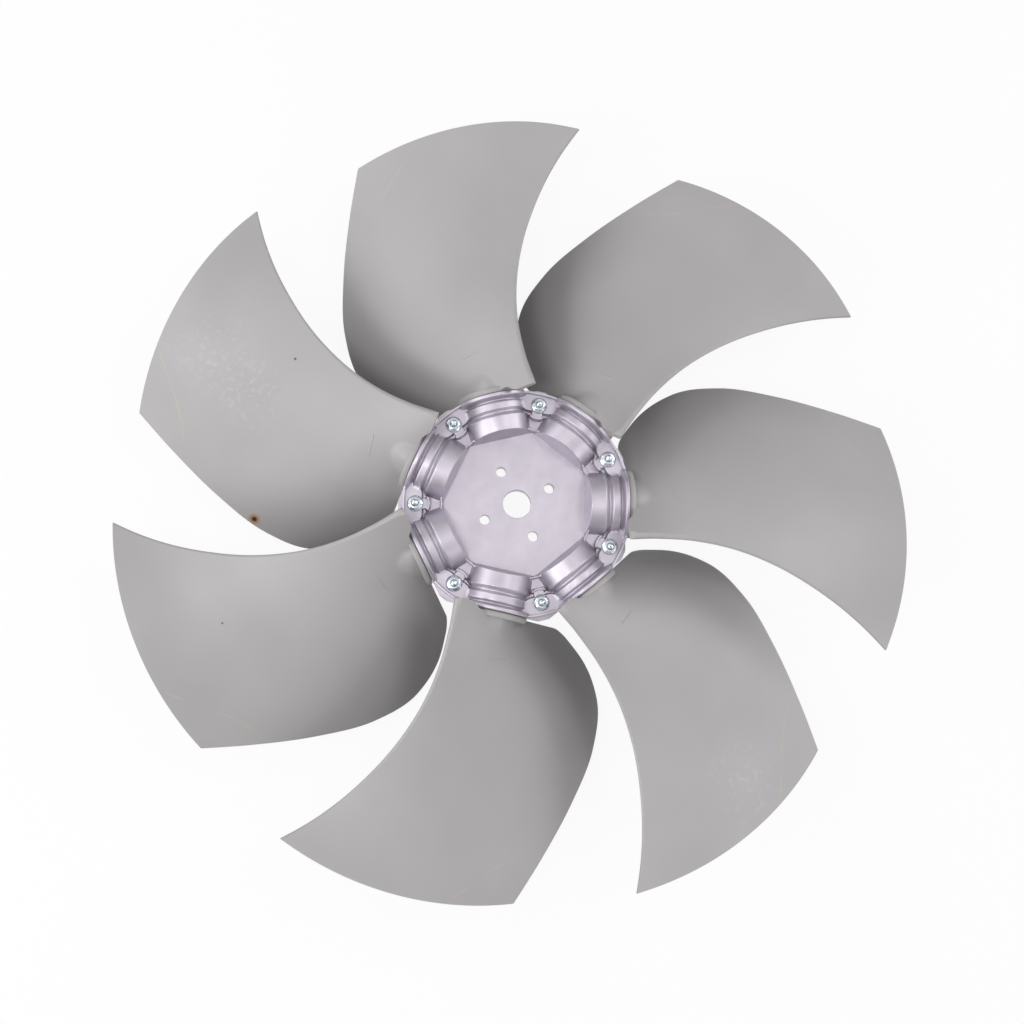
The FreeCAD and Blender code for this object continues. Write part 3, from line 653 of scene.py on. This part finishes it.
def reinforced_polyamide():
    """Glass-fibre reinforced polyamide, moulded: satin grey with faint flow
    marks, a weld line near the tip, a painted sheen on two blades and a few
    dark spots."""
    material, tree, shader, place = new_material("reinforced_polyamide")
    layers = [(patches(tree, place, 90, 2, 0.3, 0.7), "aba8a9")]

    # Weld line where two flows of the melt met, 1.8 mm wide and broken
    beyond = add(tree, "ShaderNodeAttribute", {}, "Fac", attribute_name="weld")
    band = {0: beyond, 1: WELD_SHIFT, 2: 0.9}
    line = add(tree, "ShaderNodeMath", band, operation="COMPARE")
    broken = patches(tree, place, 18, 2, 0.35, 0.6, 0, 0.45)
    faint = add(tree, "ShaderNodeMath", {0: line, 1: broken}, operation="MULTIPLY")
    layers.append((faint, "b9b29d"))

    # Painted sheen: lighter, patchy spots on two blades where their satin face catches the light
    sheen_grain = patches(tree, place, 5, 5, 0.52, 0.7, 0, 0.5)
    for centre, soft_mm in (((-262, 128, 18), 42), ((-232, 95, 12), 30), ((190, -240, 20), 36)):
        sheen_region = spot(tree, place, centre, 8, soft_mm)
        painted_sheen = add(tree, "ShaderNodeMath", {0: sheen_grain, 1: sheen_region}, operation="MULTIPLY")
        layers.append((painted_sheen, "bfbcbd"))

    # Burn at a trailing edge with its scorched border, and two specks
    burn = (-234.9, -8.4, -32.1)
    layers.append((spot(tree, place, burn, 2.6, 3.6), "a5764a"))
    layers.append((spot(tree, place, burn, 1.6, 1.2), "2c1a10"))
    layers.append((spot(tree, place, (-192.7, 125.3, 21.4), 0.7, 0.8), "6b4630"))
    layers.append((spot(tree, place, (-250.4, -102.3, 18.8), 0.5, 0.8), "5a5558"))
    tree.links.new(tinted(tree, layers, "a4a1a2"), shader.inputs["Base Color"])
    tree.links.new(patches(tree, place, 30, 3, 0.3, 0.7, 0.37, 0.44), shader.inputs["Roughness"])
    tree.links.new(relief(tree, place, 1.6, 2, 0.08, 0.05), shader.inputs["Normal"])
    return material


def zinc_plate():
    """Bright zinc-plated steel: blue-white and glossy."""
    material, tree, shader, place = new_material("zinc_plated_steel")
    cloud = patches(tree, place, 4, 2, 0.0, 1.0)
    tree.links.new(tinted(tree, [(cloud, "e4eaee")], "b9c4cc"), shader.inputs["Base Color"])
    tree.links.new(patches(tree, place, 1.2, 2, 0.3, 0.7, 0.16, 0.3), shader.inputs["Roughness"])
    shader.inputs["Metallic"].default_value = 1.0
    return material


def seen_directly(tree):
    """1 for camera, mirror and see-through rays, 0 for those that light."""
    path = add(tree, "ShaderNodeLightPath", {}).node
    share = path.outputs["Is Camera Ray"]
    for ray in ("Is Glossy Ray", "Is Transmission Ray"):
        either = {0: share, 1: path.outputs[ray]}
        share = add(tree, "ShaderNodeMath", either, operation="MAXIMUM")
    return share


def studio_paper():
    """Matt paper under the part: white and mostly lit through when it is
    looked at, so that the part's shadow stays faint, and dark to the light so
    that little of it bounces back."""
    material, tree, shader, place = new_material("studio_paper")
    seen = seen_directly(tree)
    white = tinted(tree, [(patches(tree, place, 300, 2, 0.0, 1.0), "e8e8e8")], "e4e4e4")
    tree.links.new(tinted(tree, [(seen, white)], "393939"), shader.inputs["Base Color"])
    shader.inputs["Roughness"].default_value = 0.9
    glow = add(tree, "ShaderNodeEmission", {"Strength": 1.0})
    share = add(tree, "ShaderNodeMath", {0: seen, 1: 0.92}, operation="MULTIPLY")
    mixed = add(tree, "ShaderNodeMixShader", {0: share, 1: shader.outputs[0], 2: glow})
    tree.links.new(mixed, tree.nodes["Material Output"].inputs["Surface"])
    return material


# Build

hub_finish = cast_aluminium()
blade_finish = reinforced_polyamide()
nut_finish = zinc_plate()

# Each half with its outline, its side of the split plane, its grid points
# over half a socket, and every how many rings one is kept
tool = hub_cutters(hub_finish)
for node, outline, side, across, thin in (
    ("front_hub_half", FRONT_OUTLINE, 1, 44, 1),
    ("rear_hub_half", REAR_OUTLINE, -1, 30, 2),
):
    casting = hub_body(f"{node}_casting", outline, side, across, thin, hub_finish)
    cut(casting, tool)
    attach(casting, "root")
    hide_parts(node)
bpy.data.objects.remove(tool)

for number in range(1, BLADES + 1):
    blade = make_object(f"blade_{number}_moulding", blade_parts(number), blade_finish)
    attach(blade, "root")
    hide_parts(f"blade_{number}")
    mark_weld(blade, number)

for node, parts in (("flange_nuts", nut_parts()), ("clamp_bolts", bolt_parts())):
    fastener = make_object(f"{node}_detail", ring_of(parts), nut_finish, 32)
    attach(fastener, "root")
    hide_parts(node)

for number in range(1, BLADES + 1):
    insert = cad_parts[f"pitch_insert_{number}"]
    for slot in insert.material_slots:
        slot.material = blade_finish

# Floor, light and camera

low = cad_box[0][2]
FLOOR_REACH = 6.0
floor_mesh = bpy.data.meshes.new("floor")
corners = [(FLOOR_REACH * i, FLOOR_REACH * j, low) for i, j in ((-1, -1), (1, -1), (1, 1), (-1, 1))]
floor_mesh.from_pydata(corners, [], [(0, 1, 2, 3)])
floor_mesh.materials.append(studio_paper())
floor = bpy.data.objects.new("floor", floor_mesh)
bpy.context.scene.collection.objects.link(floor)

world = bpy.data.worlds.new("studio")
bpy.context.scene.world = world
world.use_nodes = True
sky = world.node_tree.nodes["Background"]
sky.inputs["Color"].default_value = (1, 1, 1, 1)


def sky_strength(tree):
    """White to the camera, brightest overhead in reflections, dim as light."""
    path = add(tree, "ShaderNodeLightPath", {}).node
    direction = add(tree, "ShaderNodeTexCoord", {}, "Generated")
    height = add(tree, "ShaderNodeSeparateXYZ", {"Vector": direction}, "Z")
    total = path.outputs["Is Camera Ray"]
    for ray, low, high, dim, bright in (
        ("Is Glossy Ray", 0.1, 0.95, 0.25, 0.85),
        ("Is Diffuse Ray", 0, 1, 0.1, 0.4),
    ):
        limits = {"From Min": low, "From Max": high, "To Min": dim, "To Max": bright}
        level = add(tree, "ShaderNodeMapRange", {"Value": height, **limits})
        only = {0: level, 1: path.outputs[ray]}
        share = add(tree, "ShaderNodeMath", only, operation="MULTIPLY")
        total = add(tree, "ShaderNodeMath", {0: share, 1: total}, operation="ADD")
    return total


world.node_tree.links.new(sky_strength(world.node_tree), sky.inputs["Strength"])


def soft_box(name, azimuth, elevation, size, power):
    """Square lamp on a sphere round the part, turned to its middle."""
    lamp = bpy.data.lights.new(name, "AREA")
    lamp.size = size
    lamp.energy = power
    a, e = np.radians(azimuth), np.radians(elevation)
    away = Vector((np.cos(a) * np.cos(e), np.sin(a) * np.cos(e), np.sin(e)))
    holder = bpy.data.objects.new(name, lamp)
    holder.location = away * LAMP_DISTANCE
    holder.rotation_euler = away.to_track_quat("Z", "Y").to_euler()
    bpy.context.scene.collection.objects.link(holder)


# Compass and upward angles in degrees, size in metres and power in watts
LAMP_DISTANCE = 1.9
soft_box("right_box", 20, 19, 1.2, 12)
soft_box("near_right_box", 325, 22, 1.2, 8.5)
soft_box("left_box", 202, 27, 1.2, 18)
soft_box("far_left_box", 150, 30, 1.2, 10)
soft_box("high_box", 208, 69, 0.5, 7)
soft_box("high_far_box", 25, 60, 0.5, 4)

# Camera of the photograph, solved from the seven-fold pattern: turns about
# X and Y, then the offset and distance in units of the tip radius
PITCH_X, PITCH_Y = np.radians(-6.945), np.radians(3.408)
OFFSET = np.array([-0.01325, -0.02091, 2.7091]) * TIP_RADIUS
FOCAL_PIXELS, IMAGE = 1046.96, 1024
ROLL = np.radians(-0.57)
about_x = np.array(Matrix.Rotation(PITCH_X, 3, "X"))
about_y = np.array(Matrix.Rotation(PITCH_Y, 3, "Y"))
view_axes = about_x @ about_y
pose = np.eye(4)
pose[:3, :3] = turned(view_axes, ROLL).T
pose[:3, 3] = (turned(view_axes.T @ OFFSET, ROLL) + [0, 0, PLATE]) * MM
lens = bpy.data.cameras.new("camera")
lens.sensor_width = 36
lens.lens = FOCAL_PIXELS / IMAGE * lens.sensor_width
camera = bpy.data.objects.new("camera", lens)
camera.matrix_world = Matrix(pose.tolist())
bpy.context.scene.collection.objects.link(camera)
bpy.context.scene.camera = camera
bpy.context.scene.view_settings.view_transform = "Standard"
